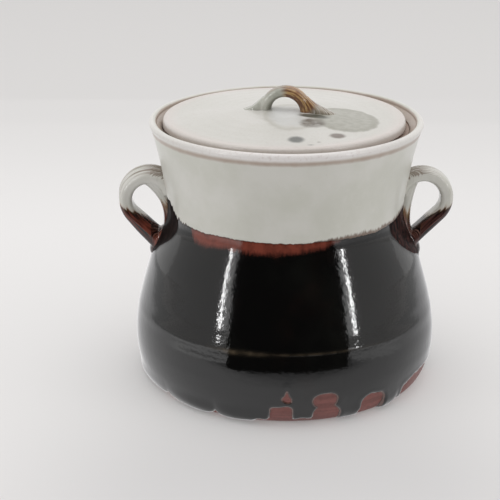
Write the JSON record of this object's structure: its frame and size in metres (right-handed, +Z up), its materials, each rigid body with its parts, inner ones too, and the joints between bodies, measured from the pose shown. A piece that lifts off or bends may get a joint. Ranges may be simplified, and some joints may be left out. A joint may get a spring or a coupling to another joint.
{
  "type": "lidded water jar",
  "caption": "Low-bellied stoneware water jar with strap ears at the collar, a pale glazed upper half over a dark glazed belly, and a loose lid with an arched loop.",
  "frame": {"origin": "middle of the foot, on the table", "axes": "+Z up along the jar's axis, X from ear to ear with the right ear at +X, -Y is the front"},
  "size_m": [0.2092, 0.1904, 0.1839],
  "materials": {
    "clay": "bare red stoneware",
    "ear_glaze": "pale gloss glaze that breaks brown at the edges",
    "dark_glaze": "high-gloss black-brown glaze",
    "pale_glaze": "milky grey-green gloss glaze",
    "liner_glaze": "milky gloss glaze",
    "lid_glaze": "milky gloss glaze with grey pools",
    "loop_glaze": "pale gloss glaze with an ochre blush"
  },
  "bodies": {
    "jar": {"jar_body": "clay", "left_ear": "ear_glaze", "right_ear": "ear_glaze", "dark_glaze": "dark_glaze", "pale_glaze": "pale_glaze", "liner_glaze": "liner_glaze"},
    "lid": {"lid_plate": "clay", "lid_glaze": "lid_glaze", "lid_loop": "loop_glaze"}
  },
  "joints": [
    {"name": "lid_lift", "type": "slide", "parent": "jar", "child": "lid", "axis": [0, 0, 1], "range_m": [0, 0.09]}
  ]
}
